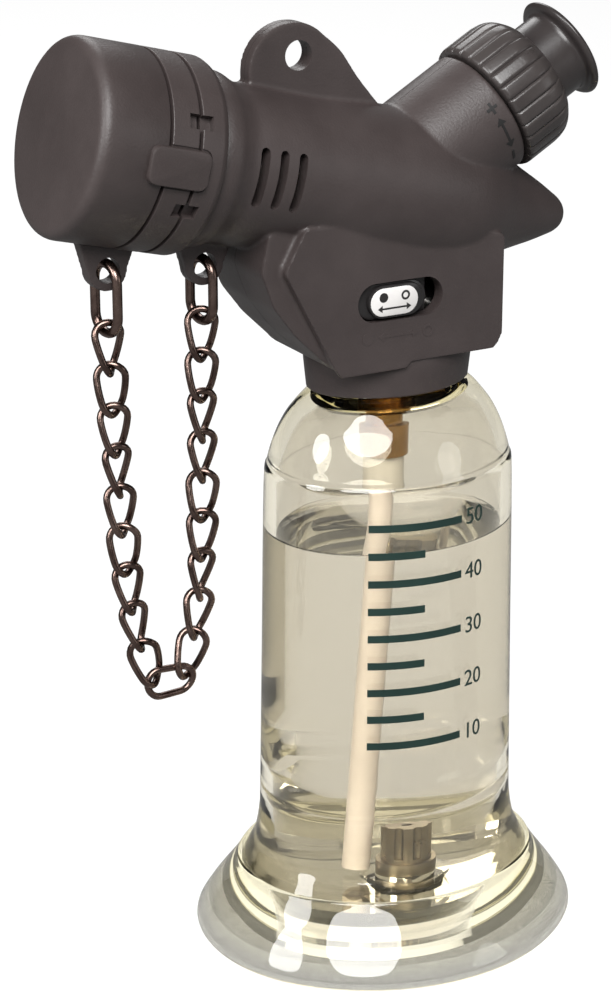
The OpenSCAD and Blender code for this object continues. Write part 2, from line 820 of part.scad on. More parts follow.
module strand_link(i, x, top, slope) {
    translate([x, 0, top - link_pitch * i])
        rotate([0, -atan2(slope, link_pitch * (strand_links - 1)), 0])
        rotate([0, 0, first_link_turn + link_twist * i])
        link(link_length, link_width, chain_wire);
}

module cap_side_chain() {
    color("saddlebrown") {
        for (i = [0 : strand_links - 1]) {
            t = i / (strand_links - 1);
            strand_link(i, cap_strand_x(t), cap_strand_top, cap_strand_slope(t));
        }
        translate([loop_link[0], 0, loop_link[1]]) rotate([0, 90, 0])
            link(link_length, link_width, chain_wire);
    }
}

module head_side_chain() {
    color("saddlebrown") for (i = [0 : strand_links - 1]) {
        t = i / (strand_links - 1);
        strand_link(i, head_strand_x(t), head_strand_top, head_strand_slope(t));
    }
}

module lug_ring(place, length) {
    color("saddlebrown")
        translate([place[0], 0, place[1] + lug_ring_rise - (length - lug_ring_wire) / 2])
        rotate([0, 0, lug_ring_turn]) link(length, lug_ring_width, lug_ring_wire);
}

module cap_lug_ring() {
    lug_ring(cap_lug + [0.2, 0], cap_ring_length);
}

module head_lug_ring() {
    lug_ring(head_lug, head_ring_length);
}

tank_shell();
level_scale();
base_foot();
tank_floor();
filler_valve_body();
filler_stem();
filler_spring();
filler_seal();
outlet_valve_body();
outlet_valve_stem();
neck_seal();
tube_sleeve();
dip_tube();
neck_collar();
left_housing();
right_housing();
housing_screws();
rear_ring();
front_ring();
nozzle_cap();
burner_tube();
burner_holder();
flame_disc();
gas_jet();
gas_hose();
electrode_insulator();
spark_electrode();
electrode_lead();
piezo_unit();
piezo_plunger();
button_spring();
ignition_button();
flame_dial();
valve_lever();
lever_pin();
lock_slider();
lock_label();
cap_lug_ring();
cap_side_chain();
head_lug_ring();
head_side_chain();
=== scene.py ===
import math
import bmesh
import bpy
from mathutils import Matrix, Vector


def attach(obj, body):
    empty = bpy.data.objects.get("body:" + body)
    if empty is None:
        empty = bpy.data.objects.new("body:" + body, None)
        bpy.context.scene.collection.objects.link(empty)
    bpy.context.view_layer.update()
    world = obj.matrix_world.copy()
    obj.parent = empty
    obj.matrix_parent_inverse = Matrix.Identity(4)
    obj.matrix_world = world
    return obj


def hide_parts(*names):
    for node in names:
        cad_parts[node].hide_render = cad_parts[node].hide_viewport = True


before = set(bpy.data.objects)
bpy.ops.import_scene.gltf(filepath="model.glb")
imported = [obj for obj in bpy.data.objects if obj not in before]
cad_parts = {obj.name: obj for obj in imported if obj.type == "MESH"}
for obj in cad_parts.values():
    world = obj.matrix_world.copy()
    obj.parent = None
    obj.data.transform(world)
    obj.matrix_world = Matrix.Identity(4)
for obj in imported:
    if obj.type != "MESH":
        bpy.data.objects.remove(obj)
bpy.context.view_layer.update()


# ---------------------------------------------------------------------------
# View, floor and lamps. A pale floor takes the torch's shadow, a white room
# lights it evenly, and four soft lamps shape the dark head and clear tank.
# ---------------------------------------------------------------------------
scene = bpy.context.scene
scene.view_settings.view_transform = "Standard"

camera_data = bpy.data.cameras.new("camera")
camera_data.sensor_width = 36.0
camera_data.lens = 96.3
camera = bpy.data.objects.new("camera", camera_data)
scene.collection.objects.link(camera)
camera.location = (-0.2058, -0.3418, 0.2148)
aim = Vector((-0.0003, 0.0263, 0.0639)) - camera.location
camera.rotation_euler = aim.to_track_quat("-Z", "Y").to_euler()
scene.camera = camera

world = bpy.data.worlds.new("studio")
scene.world = world
world.use_nodes = True
sky = world.node_tree.nodes
sky_links = world.node_tree.links
sky_light = sky["Background"]
sky_light.inputs["Color"].default_value = (1.0, 0.985, 0.965, 1)
sky_light.inputs["Strength"].default_value = 0.07
seen_sky = sky.new("ShaderNodeBackground")
seen_sky.inputs["Color"].default_value = (1, 1, 1, 1)
seen_sky.inputs["Strength"].default_value = 1.0
sky_path = sky.new("ShaderNodeLightPath")
seen_through = sky.new("ShaderNodeMath")
seen_through.operation = "MAXIMUM"
sky_links.new(sky_path.outputs["Is Camera Ray"], seen_through.inputs[0])
sky_links.new(sky_path.outputs["Is Transmission Ray"], seen_through.inputs[1])
sky_mix = sky.new("ShaderNodeMixShader")
sky_links.new(seen_through.outputs[0], sky_mix.inputs[0])
sky_links.new(sky_light.outputs[0], sky_mix.inputs[1])
sky_links.new(seen_sky.outputs[0], sky_mix.inputs[2])
sky_links.new(sky_mix.outputs[0], sky["World Output"].inputs["Surface"])

floor_half = 3.0
floor_mesh = bpy.data.meshes.new("floor")
floor_mesh.from_pydata([(-floor_half, -floor_half, 0), (floor_half, -floor_half, 0),
                        (floor_half, floor_half, 0), (-floor_half, floor_half, 0)],
                       [], [(0, 1, 2, 3)])
floor = bpy.data.objects.new("floor", floor_mesh)
scene.collection.objects.link(floor)
floor_paint = bpy.data.materials.new("pale_floor")
floor_paint.use_nodes = True
floor_nodes = floor_paint.node_tree.nodes
floor_links = floor_paint.node_tree.links
floor_body = floor_nodes["Principled BSDF"]
floor_body.inputs["Base Color"].default_value = (0.16, 0.16, 0.16, 1)
floor_body.inputs["Roughness"].default_value = 0.9
floor_lift = floor_nodes.new("ShaderNodeEmission")
floor_lift.inputs["Color"].default_value = (1, 1, 1, 1)
floor_path = floor_nodes.new("ShaderNodeLightPath")
floor_level = None
for ray, level in [("Is Camera Ray", 0.85), ("Is Transmission Ray", 0.92), ("Is Glossy Ray", 0.08)]:
    share = floor_nodes.new("ShaderNodeMath")
    share.operation = "MULTIPLY_ADD"
    share.inputs[1].default_value = level
    share.inputs[2].default_value = 0.0
    floor_links.new(floor_path.outputs[ray], share.inputs[0])
    if floor_level:
        floor_links.new(floor_level.outputs[0], share.inputs[2])
    floor_level = share
floor_links.new(floor_level.outputs[0], floor_lift.inputs["Strength"])
floor_sum = floor_nodes.new("ShaderNodeAddShader")
floor_links.new(floor_body.outputs[0], floor_sum.inputs[0])
floor_links.new(floor_lift.outputs[0], floor_sum.inputs[1])
floor_links.new(floor_sum.outputs[0], floor_nodes["Material Output"].inputs["Surface"])
floor_mesh.materials.append(floor_paint)

for name, place, size, power in [("key", (-0.46, -0.78, 0.95), 0.85, 24.0),
                                 ("side", (-1.05, -0.15, 0.62), 0.50, 8.0),
                                 ("fill", (0.75, -0.90, 0.34), 0.45, 1.0),
                                 ("back", (0.30, 0.85, 0.80), 0.60, 4.0)]:
    lamp_data = bpy.data.lights.new(name, "AREA")
    lamp_data.shape = "DISK"
    lamp_data.size = size
    lamp_data.energy = power
    lamp = bpy.data.objects.new(name, lamp_data)
    scene.collection.objects.link(lamp)
    lamp.location = place
    lamp.rotation_euler = (Vector((0, 0, 0.08)) - lamp.location).to_track_quat("-Z", "Y").to_euler()


# ---------------------------------------------------------------------------
# Tank: one clear, faintly yellow moulding with a four-arc oval wall, a domed
# shoulder, a neck and a flared lower skirt. It holds the liquid gas.
# ---------------------------------------------------------------------------
def clear_plastic(name, tint, roughness, ior, waviness, stain=None):
    """Clear moulded plastic with a wavy surface; thick stretches take the stain."""
    paint = bpy.data.materials.new(name)
    paint.use_nodes = True
    nodes = paint.node_tree.nodes
    links = paint.node_tree.links
    body = nodes["Principled BSDF"]
    body.inputs["Transmission Weight"].default_value = 1.0
    body.inputs["IOR"].default_value = ior
    where = nodes.new("ShaderNodeTexCoord")
    flow_marks = nodes.new("ShaderNodeTexNoise")
    flow_marks.inputs["Scale"].default_value = 60.0
    flow_marks.inputs["Detail"].default_value = 2.0
    links.new(where.outputs["Object"], flow_marks.inputs["Vector"])
    colours = nodes.new("ShaderNodeMix")
    colours.data_type = "RGBA"
    colours.inputs["A"].default_value = (*tint, 1)
    colours.inputs["B"].default_value = (*[c * 0.985 for c in tint], 1)
    links.new(flow_marks.outputs["Fac"], colours.inputs["Factor"])
    links.new(colours.outputs["Result"], body.inputs["Base Color"])
    gloss = nodes.new("ShaderNodeMapRange")
    gloss.inputs["To Min"].default_value = roughness
    gloss.inputs["To Max"].default_value = roughness * 2.0
    links.new(flow_marks.outputs["Fac"], gloss.inputs["Value"])
    links.new(gloss.outputs["Result"], body.inputs["Roughness"])
    bump = nodes.new("ShaderNodeBump")
    bump.inputs["Strength"].default_value = waviness
    bump.inputs["Distance"].default_value = 0.0004
    links.new(flow_marks.outputs["Fac"], bump.inputs["Height"])
    links.new(bump.outputs["Normal"], body.inputs["Normal"])
    clear = nodes.new("ShaderNodeBsdfTransparent")
    clear.inputs["Color"].default_value = (*[c ** 0.5 for c in tint], 1)
    ray = nodes.new("ShaderNodeLightPath")
    either = nodes.new("ShaderNodeMixShader")
    links.new(ray.outputs["Is Shadow Ray"], either.inputs[0])
    links.new(body.outputs[0], either.inputs[1])
    links.new(clear.outputs[0], either.inputs[2])
    links.new(either.outputs[0], nodes["Material Output"].inputs["Surface"])
    if stain:
        depth = nodes.new("ShaderNodeVolumeAbsorption")
        depth.inputs["Color"].default_value = (*stain[0], 1)
        depth.inputs["Density"].default_value = stain[1]
        links.new(depth.outputs[0], nodes["Material Output"].inputs["Volume"])
    return paint


MM = 0.001


def piece(name, shape, material, body, slot, *nodes, sharp=35):
    """Turns a bmesh in millimetres into a finished piece that rides on a body."""
    bmesh.ops.recalc_face_normals(shape, faces=shape.faces)
    bmesh.ops.scale(shape, vec=(MM, MM, MM), verts=shape.verts)
    mesh = bpy.data.meshes.new(name)
    shape.to_mesh(mesh)
    shape.free()
    mesh.shade_smooth()
    mesh.set_sharp_from_angle(angle=math.radians(sharp))
    made = bpy.data.objects.new(name, mesh)
    scene.collection.objects.link(made)
    made.data.materials.append(material)
    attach(made, body)
    if nodes:
        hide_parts(*nodes)
    return made


oval_centre = 6.5
oval_shift = oval_centre * math.sqrt(2)


def oval(offset, height, arc_steps=32):
    """Points of the tank's four-arc oval; offset is its end arcs' radius."""
    points = []
    for quarter in range(4):
        turn = math.radians(90 * quarter - 45)
        is_side = quarter % 2 == 1
        radius = offset + (oval_shift if is_side else 0)
        middle = math.radians(90 * quarter + (180 if is_side else 0))
        for i in range(arc_steps):
            angle = turn + math.radians(90) * i / arc_steps
            points.append(Vector((oval_centre * math.cos(middle) + radius * math.cos(angle),
                                  oval_centre * math.sin(middle) + radius * math.sin(angle),
                                  height)))
    return points


def flow(points, steps=4):
    """A smooth curve through the points of a profile."""
    path = []
    for i in range(len(points) - 1):
        a = Vector(points[max(i - 1, 0)])
        b = Vector(points[i])
        c = Vector(points[i + 1])
        d = Vector(points[min(i + 2, len(points) - 1)])
        for k in range(steps):
            t = k / steps
            path.append(0.5 * ((2 * b) + (c - a) * t + (2 * a - 5 * b + 4 * c - d) * t * t
                               + (3 * b - a - 3 * c + d) * t ** 3))
    path.append(Vector(points[-1]))
    return [tuple(p) for p in path]


def oval_loft(profile, closed=False):
    """Skin over ovals: profile holds (offset, height); open ends are filled."""
    shape = bmesh.new()
    rings = [[shape.verts.new(p) for p in oval(r, z)] for r, z in profile]
    count = len(rings[0])
    pairs = list(zip(rings, rings[1:]))
    if closed:
        pairs.append((rings[-1], rings[0]))
    for low, high in pairs:
        for i in range(count):
            k = (i + 1) % count
            shape.faces.new((low[i], low[k], high[k], high[i]))
    if not closed:
        shape.faces.new(list(reversed(rings[0])))
        shape.faces.new(rings[-1])
    return shape


tank_r = 14.5
skirt_r = 17.9
tank_plastic = clear_plastic("tank_clear", (0.755, 0.73, 0.685), 0.012, 1.49, 0.05,
                             ((0.83, 0.74, 0.20), 38.0))
tank_outside = [(skirt_r - 0.3, 3.0), (skirt_r, 3.4), (skirt_r, 11.2)] + flow(
    [(skirt_r, 11.5), (skirt_r - 1.3, 14.0), (tank_r + 1.2, 16.0), (tank_r + 0.5, 20.0),
     (tank_r + 0.3, 25.0), (tank_r - 0.1, 50.0), (tank_r - 0.5, 76.0), (tank_r - 1.0, 80.0),
     (tank_r - 2.2, 84.0), (tank_r - 3.6, 87.0), (tank_r - 5.0, 89.0), (tank_r - 6.7, 91.0),
     (tank_r - 8.0, 92.0)]) + [(3.6, 92.2), (3.6, 97.5)]
tank_inside = [(3.2, 88.4), (4.4, 88.4), (4.9, 88.7)] + flow(
    [(tank_r - 9.0, 88.9), (tank_r - 6.8, 87.0), (tank_r - 4.9, 84.0), (tank_r - 3.4, 80.0),
     (tank_r - 2.6, 76.0), (tank_r - 2.1, 50.0), (tank_r - 1.8, 29.8)]) + flow(
    [(tank_r - 1.6, 29.3), (tank_r - 1.6, 24.3)]) + flow(
    [(tank_r - 1.4, 23.8), (tank_r - 1.4, 18.0), (tank_r - 0.9, 14.0),
     (tank_r - 0.2, 11.0)]) + [(tank_r - 0.2, 3.0)]
tank_shape = oval_loft(tank_outside)
tank_shape.faces.ensure_lookup_table()
bmesh.ops.delete(tank_shape, geom=[tank_shape.faces[-2]], context="FACES_ONLY")
inside_shape = oval_loft(tank_inside)
inside_shape.faces.ensure_lookup_table()
bmesh.ops.delete(inside_shape, geom=[inside_shape.faces[-1]], context="FACES_ONLY")
spare = bpy.data.meshes.new("spare")
inside_shape.to_mesh(spare)
tank_shape.from_mesh(spare)
rims = [e for e in tank_shape.edges if e.is_boundary]
bmesh.ops.bridge_loops(tank_shape, edges=rims)
piece("tank", tank_shape, tank_plastic, "torch", "tank_clear", "tank_shell", sharp=50)

# Liquid gas: fills the tank to just over two thirds and wets its wall, so its
# skin lies just inside the plastic. Its rim climbs a little where it wets.
liquid_level = 69.0
liquid_paint = clear_plastic("liquid_gas", (0.995, 0.99, 0.98), 0.0, 1.33, 0.0)
liquid_side = flow([(tank_r - 0.1, 7.9), (tank_r - 0.1, 11.0), (tank_r - 0.8, 14.0),
                    (tank_r - 1.4, 18.0), (tank_r - 1.6, 25.0), (tank_r - 2.0, 50.0),
                    (tank_r - 2.3, liquid_level)])
liquid_shape = oval_loft(liquid_side + [(tank_r - 2.7, liquid_level - 0.35),
                                        (tank_r - 3.6, liquid_level - 0.55)])
piece("liquid_gas", liquid_shape, liquid_paint, "torch", "tank_clear", sharp=60)


# ---------------------------------------------------------------------------
# Foot: a thick ring moulded in a clearer plastic than the tank and pushed on
# round its lower skirt, with a hollow flare and a rounded rim.
# ---------------------------------------------------------------------------
foot_r = 25.4
foot_plastic = clear_plastic("foot_clear", (0.955, 0.945, 0.915), 0.012, 1.49, 0.05,
                             ((0.86, 0.79, 0.42), 45.0))
foot_profile = [(skirt_r - 2.4, 0.0), (foot_r - 1.2, 0.0)] + flow(
    [(foot_r - 0.5, 0.15), (foot_r - 0.12, 0.7), (foot_r - 0.05, 1.4), (foot_r - 0.4, 2.4),
     (foot_r - 1.9, 4.8), (foot_r - 3.5, 7.0), (foot_r - 4.8, 8.7), (foot_r - 6.1, 10.6),
     (skirt_r + 0.6, 12.0)]) + [(skirt_r + 0.25, 12.15), (skirt_r + 0.25, 3.0),
                                (skirt_r - 2.4, 2.9)]
piece("foot", oval_loft(foot_profile, closed=True), foot_plastic, "torch", "foot_clear",
      "base_foot", sharp=50)


# ---------------------------------------------------------------------------
# Fittings that keep their solid shape: clear floor plate, pale dip tube and
# sleeve, turned brass valves, and the steel and ceramic works in the head.
# ---------------------------------------------------------------------------
def node_group(name, inputs, outputs):
    """An empty shader group; inputs maps names to default values."""
    group = bpy.data.node_groups.new(name, "ShaderNodeTree")
    group.interface.new_socket("Vector", in_out="INPUT", socket_type="NodeSocketVector")
    for label, value in inputs.items():
        socket = group.interface.new_socket(label, in_out="INPUT", socket_type="NodeSocketFloat")
        socket.default_value = value
    for label in outputs:
        group.interface.new_socket(label, in_out="OUTPUT", socket_type="NodeSocketFloat")
    return (group, group.nodes.new("NodeGroupInput"), group.nodes.new("NodeGroupOutput"))


# Grain: fine moulded or blasted texture, with a slower cloudy mottle.
grain, grain_in, grain_out = node_group(
    "surface_grain", {"Grain Size": 2500.0, "Mottle Size": 90.0}, ["Height", "Mottle"])
fine = grain.nodes.new("ShaderNodeTexNoise")
fine.inputs["Detail"].default_value = 3.0
cloudy = grain.nodes.new("ShaderNodeTexNoise")
cloudy.inputs["Detail"].default_value = 5.0
cloudy.inputs["Roughness"].default_value = 0.6
grain.links.new(grain_in.outputs["Vector"], fine.inputs["Vector"])
grain.links.new(grain_in.outputs["Grain Size"], fine.inputs["Scale"])
grain.links.new(grain_in.outputs["Vector"], cloudy.inputs["Vector"])
grain.links.new(grain_in.outputs["Mottle Size"], cloudy.inputs["Scale"])
grain.links.new(fine.outputs["Fac"], grain_out.inputs["Height"])
grain.links.new(cloudy.outputs["Fac"], grain_out.inputs["Mottle"])


def finish(name, dark, light, roughness, metallic=0.0, grain_size=2500.0, mottle_size=90.0,
           bump=0.05, contrast=1.0, **plain):
    """A solid finish whose colour and gloss drift with the surface grain."""
    paint = bpy.data.materials.new(name)
    paint.use_nodes = True
    nodes = paint.node_tree.nodes
    links = paint.node_tree.links
    body = nodes["Principled BSDF"]
    body.inputs["Metallic"].default_value = metallic
    for label, value in plain.items():
        body.inputs[label.replace("_", " ")].default_value = value
    where = nodes.new("ShaderNodeTexCoord")
    texture = nodes.new("ShaderNodeGroup")
    texture.node_tree = grain
    texture.inputs["Grain Size"].default_value = grain_size
    texture.inputs["Mottle Size"].default_value = mottle_size
    links.new(where.outputs["Object"], texture.inputs["Vector"])
    spread = nodes.new("ShaderNodeMapRange")
    spread.inputs["From Min"].default_value = 0.5 - 0.22 / contrast
    spread.inputs["From Max"].default_value = 0.5 + 0.22 / contrast
    links.new(texture.outputs["Mottle"], spread.inputs["Value"])
    colours = nodes.new("ShaderNodeMix")
    colours.data_type = "RGBA"
    colours.inputs["A"].default_value = (*dark, 1)
    colours.inputs["B"].default_value = (*light, 1)
    links.new(spread.outputs["Result"], colours.inputs["Factor"])
    links.new(colours.outputs["Result"], body.inputs["Base Color"])
    gloss = nodes.new("ShaderNodeMapRange")
    gloss.inputs["To Min"].default_value = roughness * 0.85
    gloss.inputs["To Max"].default_value = roughness * 1.15
    links.new(spread.outputs["Result"], gloss.inputs["Value"])
    links.new(gloss.outputs["Result"], body.inputs["Roughness"])
    relief = nodes.new("ShaderNodeBump")
    relief.inputs["Strength"].default_value = bump
    relief.inputs["Distance"].default_value = 0.0003
    links.new(texture.outputs["Height"], relief.inputs["Height"])
    links.new(relief.outputs["Normal"], body.inputs["Normal"])
    return paint


def dress(paint, *names):
    """Gives CAD nodes that keep their shape a finish."""
    for name in names:
        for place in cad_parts[name].material_slots:
            place.material = paint


brass = finish("brass", (0.28, 0.155, 0.05), (0.42, 0.25, 0.09), 0.26, metallic=1.0,
               grain_size=1800.0, mottle_size=160.0, bump=0.08)
old_brass = finish("old_brass", (0.20, 0.165, 0.115), (0.34, 0.295, 0.22), 0.30, metallic=1.0,
                   grain_size=1800.0, mottle_size=160.0, bump=0.08)
steel = finish("steel", (0.42, 0.41, 0.40), (0.56, 0.55, 0.53), 0.30, metallic=1.0,
               grain_size=2200.0, mottle_size=120.0, bump=0.06)
rubber = finish("seal_rubber", (0.02, 0.02, 0.02), (0.035, 0.034, 0.033), 0.7, bump=0.1)
white_plastic = finish("tube_white", (0.56, 0.50, 0.455), (0.64, 0.58, 0.53), 0.4, bump=0.03)
grey_plastic = finish("grey_plastic", (0.42, 0.40, 0.36), (0.54, 0.51, 0.46), 0.38, bump=0.04)
dress(foot_plastic, "tank_floor")
dress(brass, "outlet_valve_body", "gas_jet", "flame_disc")
dress(old_brass, "filler_valve_body", "filler_stem")
dress(steel, "filler_spring", "outlet_valve_stem", "button_spring", "burner_tube",
      "burner_holder", "spark_electrode", "piezo_plunger", "valve_lever", "lever_pin",
      "housing_screws")
dress(rubber, "filler_seal", "neck_seal")
dress(white_plastic, "dip_tube", "gas_hose")
dress(grey_plastic, "tube_sleeve")
dress(finish("ceramic_white", (0.66, 0.63, 0.58), (0.76, 0.73, 0.69), 0.22, bump=0.02),
      "electrode_insulator")
dress(finish("lead_red", (0.30, 0.016, 0.012), (0.42, 0.026, 0.018), 0.45, bump=0.06),
      "electrode_lead")


# ---------------------------------------------------------------------------
# Level scale: dark green marks printed on the tank's near wall, with plain
# numbers in the same ink beside every other mark.
# ---------------------------------------------------------------------------
print_ink = finish("print_green", (0.006, 0.022, 0.018), (0.012, 0.036, 0.029), 0.42,
                   grain_size=1500.0, bump=0.03)
dress(print_ink, "level_scale")
scale_low = 37.0
scale_step = 4.5
number_size = 3.8
numbers_shape = bmesh.new()
for mark in range(0, 9, 2):
    words = bpy.data.curves.new("number", "FONT")
    words.body = str(10 + 10 * mark // 2)
    words.size = number_size
    words.extrude = 0.04
    words.align_x = "LEFT"
    words.align_y = "CENTER"
    holder = bpy.data.objects.new("number", words)
    scene.collection.objects.link(holder)
    flat = bpy.data.meshes.new_from_object(holder.evaluated_get(
        bpy.context.evaluated_depsgraph_get()))
    bpy.data.objects.remove(holder)
    first = len(numbers_shape.verts)
    numbers_shape.from_mesh(flat)
    numbers_shape.verts.ensure_lookup_table()
    for v in numbers_shape.verts[first:]:
        z = scale_low + 0.6 + scale_step * mark + v.co.y
        wall = oval_shift + tank_r + 0.3 - 0.8 * (z - 25.0) / 51.0
        around = math.radians(-80.0) + v.co.x / wall
        out = wall + 0.06 + v.co.z
        v.co = (out * math.cos(around), oval_centre + out * math.sin(around), z)
piece("scale_numbers", numbers_shape, print_ink, "torch", "print_green")


# ---------------------------------------------------------------------------
# Neck collar: an oval band of the head's dark plastic, clamped round the
# tank's neck and standing on its shoulder.
# ---------------------------------------------------------------------------
head_plastic = finish("head_plastic", (0.039, 0.0300, 0.0290), (0.056, 0.0435, 0.0420), 0.46,
                      grain_size=2600.0, mottle_size=70.0, bump=0.16)
collar_r = 7.0
collar_bore = 4.2
collar_low = 92.2
collar_top = 98.0
collar_shape = oval_loft([(collar_bore, collar_low), (collar_r - 0.2, collar_low),
                          (collar_r, collar_low + 0.2), (collar_r + 0.3, collar_low + 3.0),
                          (collar_r + 0.55, collar_top - 0.3), (collar_r + 0.45, collar_top),
                          (collar_bore, collar_top)], closed=True)
bmesh.ops.translate(collar_shape, vec=(-0.4, 0, 0), verts=collar_shape.verts)
piece("collar", collar_shape, head_plastic, "torch", "head_plastic", "neck_collar")


# ---------------------------------------------------------------------------
# Head: two shells of satin dark plastic that meet on the middle plane and are
# screwed together: nose, block with raised panels, hanging tab and barrel.
# ---------------------------------------------------------------------------
nozzle_height = 122.3
nozzle_tilt = 14
barrel_height = 123.6
barrel_tilt = 30.15
nozzle = (Matrix.Translation((0, 0, nozzle_height))
          @ Matrix.Rotation(math.radians(nozzle_tilt - 90), 4, "Y"))
barrel = (Matrix.Translation((0, 0, barrel_height))
          @ Matrix.Rotation(math.radians(90 - barrel_tilt), 4, "Y"))


def lathe(profile, place=None, steps=144, closed=False):
    """Turned shape on Z from (radius, height) points, put in its place."""
    shape = bmesh.new()
    rings = []
    for r, z in profile:
        count = 1 if r < 1e-6 else steps
        rings.append([shape.verts.new((r * math.cos(2 * math.pi * i / steps),
                                       r * math.sin(2 * math.pi * i / steps), z))
                      for i in range(count)])
    pairs = list(zip(rings, rings[1:]))
    if closed:
        pairs.append((rings[-1], rings[0]))
    for low, high in pairs:
        for i in range(steps):
            k = (i + 1) % steps
            corners = [low[i % len(low)], low[k % len(low)],
                       high[k % len(high)], high[i % len(high)]]
            corners = list(dict.fromkeys(corners))
            if len(corners) > 2:
                shape.faces.new(corners)
    if place:
        bmesh.ops.transform(shape, matrix=place, verts=shape.verts)
    return shape


def eased(points, size, steps=3, closed=False):
    """The outline with its corners rounded over a length."""
    path = []
    count = len(points)
    for i, point in enumerate(points):
        here = Vector(point)
        if not closed and i in (0, count - 1):
            path.append(tuple(here))
            continue
        before = Vector(points[i - 1]) - here
        after = Vector(points[(i + 1) % count]) - here
        reach = min(size, before.length * 0.45, after.length * 0.45)
        start = here + before.normalized() * reach
        end = here + after.normalized() * reach
        for k in range(steps + 1):
            t = k / steps
            path.append(tuple((1 - t) ** 2 * start + 2 * t * (1 - t) * here + t * t * end))
    return path


def prism(outline, near, far, place=None):
    """Plate in the XZ plane between two depths along Y."""
    shape = bmesh.new()
    front = [shape.verts.new((x, near, z)) for x, z in outline]
    back = [shape.verts.new((x, far, z)) for x, z in outline]
    shape.faces.new(front)
    shape.faces.new(list(reversed(back)))
    for i in range(len(front)):
        k = (i + 1) % len(front)
        shape.faces.new((front[k], front[i], back[i], back[k]))
    if place:
        bmesh.ops.transform(shape, matrix=place, verts=shape.verts)
    return shape


def disc(x, z, radius, steps=48):
    return [(x + radius * math.cos(2 * math.pi * i / steps),
             z + radius * math.sin(2 * math.pi * i / steps)) for i in range(steps)]


def stadium(x, z, length, height, steps=16):
    """A slot's outline, round at both ends, its length along X."""
    points = []
    for side in (1, -1):
        middle = x + side * (length - height) / 2
        for i in range(steps + 1):
            angle = math.pi * i / steps - side * math.pi / 2
            points.append((middle + height / 2 * math.cos(angle), z + height / 2 * math.sin(angle)))
    return points


def joined(shapes):
    """One bmesh of several, which are used up."""
    whole = bmesh.new()
    for shape in shapes:
        bmesh.ops.recalc_face_normals(shape, faces=shape.faces)
        part = bpy.data.meshes.new("part")
        shape.to_mesh(part)
        shape.free()
        whole.from_mesh(part)
        bpy.data.meshes.remove(part)
    return whole


def carved(solid, cutters, keep=None, melt=0.0, smoothing=0):
    """The solid melted into one soft skin, then cut; keep is what it is kept within."""
    meshes = []
    for shape in [solid] + cutters + ([keep] if keep else []):
        bmesh.ops.recalc_face_normals(shape, faces=shape.faces)
        mesh = bpy.data.meshes.new("shape")
        shape.to_mesh(mesh)
        shape.free()
        meshes.append(mesh)
    work = bpy.data.objects.new("work", meshes[0])
    scene.collection.objects.link(work)
    if melt:
        skin = work.modifiers.new("skin", "REMESH")
        skin.mode = "VOXEL"
        skin.voxel_size = melt
        soft = work.modifiers.new("soft", "SMOOTH")
        soft.factor = 0.5
        soft.iterations = smoothing
    tools = []
    for i, mesh in enumerate(meshes[1:]):
        tool = bpy.data.objects.new("tool", mesh)
        scene.collection.objects.link(tool)
        tools.append(tool)
        cut = work.modifiers.new("cut", "BOOLEAN")
        cut.solver = "MANIFOLD"
        cut.operation = "INTERSECT" if keep and i == len(cutters) else "DIFFERENCE"
        cut.object = tool
    done = bpy.data.meshes.new_from_object(work.evaluated_get(
        bpy.context.evaluated_depsgraph_get()))
    for thing in [work] + tools:
        bpy.data.objects.remove(thing)
    for mesh in meshes:
        bpy.data.meshes.remove(mesh)
    result = bmesh.new()
    result.from_mesh(done)
    bpy.data.meshes.remove(done)
    return result


def block_of(low, high):
    """A box between two corners, for cutting."""
    return prism([(low[0], low[2]), (high[0], low[2]), (high[0], high[2]), (low[0], high[2])],
                 low[1], high[1])


panel_half = 10.5
block_half = 8.8
tab_thickness = 3.2
lug_thickness = 2.6
tab_hole = (-17.0, 144.4)
head_lug = (-32.6, 114.8)
screw_places = [(-18.4, 111.6), (11.2, 107.0), (17.0, 118.0)]
slot_place = (-4.5, 108.0)
nose = flow([(0.0, -31.8), (1.7, -31.5), (2.8, -30.4), (3.7, -28.6), (5.0, -25.7), (6.4, -22.2),
             (8.0, -18.4), (10.2, -14.0), (11.7, -9.3), (12.4, -2.3), (12.3, 6.7), (12.0, 12.2),
             (11.7, 18.0), (11.8, 24.0), (11.9, 28.4), (11.8, 30.6), (12.3, 32.4), (12.9, 33.8),
             (13.0, 35.2), (12.7, 36.4)])
nose += [(12.5, 36.6), (12.1, 36.6), (12.1, 49.6), (11.8, 50.0), (0.0, 50.0)]
block_side = eased([(-27.1, 114.3), (-25.0, 108.7), (-21.4, 104.0), (-15.2, 98.0), (13.0, 98.0),
                    (14.0, 101.5), (14.0, 118.0), (-10.0, 124.0), (-26.0, 120.0)], 0.8, closed=True)
panel_side = eased([(-20.7, 120.7), (-24.2, 114.4), (-15.9, 98.9), (-15.0, 98.0), (12.6, 98.0),
                    (14.0, 100.2), (14.0, 116.0), (-10.0, 120.0)], 0.8, closed=True)
tab_side = eased(disc(-18.0, 142.1, 7.2)[6:26]
                 + [(-25.4, 138.0), (-25.6, 130.0), (-1.5, 128.0), (-2.2, 134.6), (-6.9, 140.2),
                    (-9.9, 144.7)], 1.5, closed=True)
panel_lip = [(-15.9, 98.9), (-14.5, 97.0), (-3.4, 97.0), (-2.0, 98.4)]
lug_side = [(head_lug[0] - 4.5, head_lug[1] + 4.6), (head_lug[0] - 3.1, head_lug[1]),
            (head_lug[0] + 3.1, head_lug[1]), (head_lug[0] + 4.5, head_lug[1] + 3.0)]
barrel_side = [(0.0, 0.0), (10.0, 0.0), (10.0, 18.1), (9.7, 18.4), (8.4, 18.4), (8.4, 24.0),
               (0.0, 24.0)]


